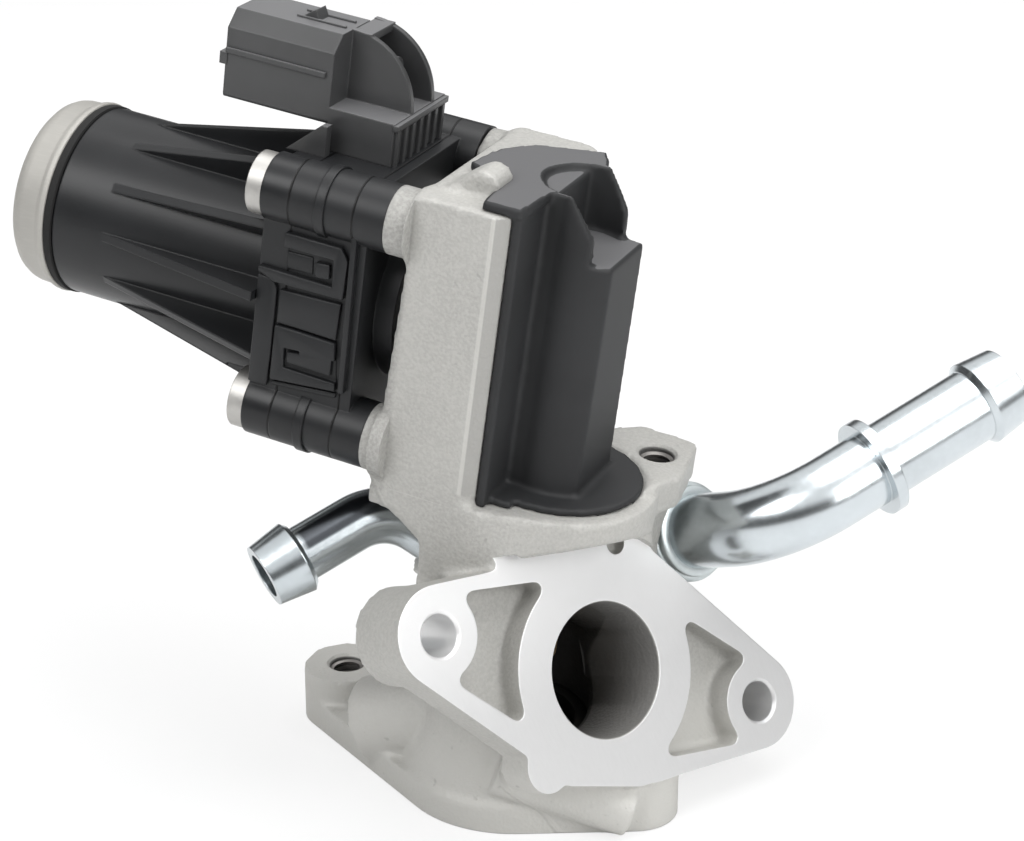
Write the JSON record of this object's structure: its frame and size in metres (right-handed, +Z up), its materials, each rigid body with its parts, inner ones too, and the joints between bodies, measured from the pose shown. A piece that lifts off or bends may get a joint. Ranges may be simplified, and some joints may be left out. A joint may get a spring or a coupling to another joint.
{
  "type": "egr valve",
  "caption": "Exhaust gas recirculation valve: cast body with gas flange and base, motor and gear drive, poppet valve under a cover, coolant pipes and plug socket.",
  "frame": {"origin": "centre of the gas port in the base face, where the stem axis meets it", "axes": "+Z up, square to the base face; +X away from the motor, so the motor's axis lies in the XZ plane and rises 7.6 degrees towards -X; +Y away from the side seen in the picture"},
  "size_m": [0.1967, 0.1141, 0.1603],
  "materials": {
    "cast_aluminium": "sand-cast, fine bead-blasted grain",
    "valve_steel": "ground heat-resisting steel",
    "bearing_bronze": "sintered bronze",
    "seal_rubber": "moulded rubber",
    "spring_steel": "bright spring wire",
    "cover_plastic": "matt moulded glass-filled plastic",
    "housing_plastic": "satin moulded plastic",
    "connector_plastic": "satin moulded plastic",
    "cap_steel": "nickel-grey pressed steel, satin",
    "zinc_pipe": "bright zinc-plated tube",
    "screw_steel": "rough plated steel",
    "terminal_tin": "tin-plated contact metal",
    "motor_steel": "pressed and laminated steel",
    "magnet_ferrite": "dark ferrite",
    "copper_winding": "enamelled copper wire",
    "brush_carbon": "carbon",
    "gear_plastic": "natural nylon"
  },
  "bodies": {
    "housing": {"valve_body": "cast_aluminium", "valve_seat": "valve_steel", "stem_guide": "bearing_bronze", "stem_seal": "seal_rubber", "spring_washer": "valve_steel", "return_spring": "spring_steel", "output_bush": "bearing_bronze", "stem_cover": "cover_plastic", "coolant_inlet_pipe": "zinc_pipe", "coolant_outlet_pipe": "zinc_pipe", "outlet_collar": "zinc_pipe", "motor_housing": "housing_plastic", "motor_cap": "cap_steel", "gear_housing": "housing_plastic", "gear_end_plate": "housing_plastic", "screw_sleeves": "screw_steel", "drive_screws": "screw_steel", "connector_shell": "connector_plastic", "connector_terminals": "terminal_tin", "motor_can": "motor_steel", "motor_magnets": "magnet_ferrite", "motor_bearings": "bearing_bronze", "brush_holder": "connector_plastic", "brushes": "brush_carbon", "idler_pin": "valve_steel", "shaft_seal": "seal_rubber"},
    "rotor": {"motor_shaft": "valve_steel", "armature": "motor_steel", "armature_windings": "copper_winding", "commutator": "copper_winding", "motor_pinion": "valve_steel"},
    "idler": {"idler_gear": "gear_plastic"},
    "output": {"output_gear": "gear_plastic", "output_shaft": "valve_steel", "output_cam": "valve_steel"},
    "valve": {"poppet_valve": "valve_steel", "spring_retainer": "valve_steel", "cam_follower": "valve_steel"},
    "roller": {"cam_roller": "valve_steel"}
  },
  "joints": [
    {"name": "motor_turn", "type": "hinge", "parent": "housing", "child": "rotor", "pos_m": [-0.06589, 0, 0.11109], "axis": [0.9912, 0, -0.1323], "range_deg": [0, 810]},
    {"name": "idler_turn", "type": "hinge", "parent": "housing", "child": "idler", "pos_m": [-0.03591, 0, 0.09377], "axis": [0.9912, 0, -0.1323], "range_deg": [-270, 0]},
    {"name": "output_turn", "type": "hinge", "parent": "housing", "child": "output", "pos_m": [-0.01633, 0, 0.10448], "axis": [0.9912, 0, -0.1323], "range_deg": [0, 90]},
    {"name": "valve_lift", "type": "slide", "parent": "housing", "child": "valve", "axis": [-0.1323, 0, -0.9912], "range_m": [0, 0.006], "stiffness_N_per_m": 800, "springref_m": -0.006, "deforming": ["return_spring"]},
    {"name": "roller_spin", "type": "hinge", "parent": "valve", "child": "roller", "pos_m": [-0.00076, 0, 0.09635], "axis": [0.9912, 0, -0.1323], "continuous": true}
  ],
  "couplings": [
    {"joint": "motor_turn", "follows": "valve_lift", "rad_per_m": 2356.2},
    {"joint": "idler_turn", "follows": "valve_lift", "rad_per_m": -785.4},
    {"joint": "output_turn", "follows": "valve_lift", "rad_per_m": 261.8}
  ]
}
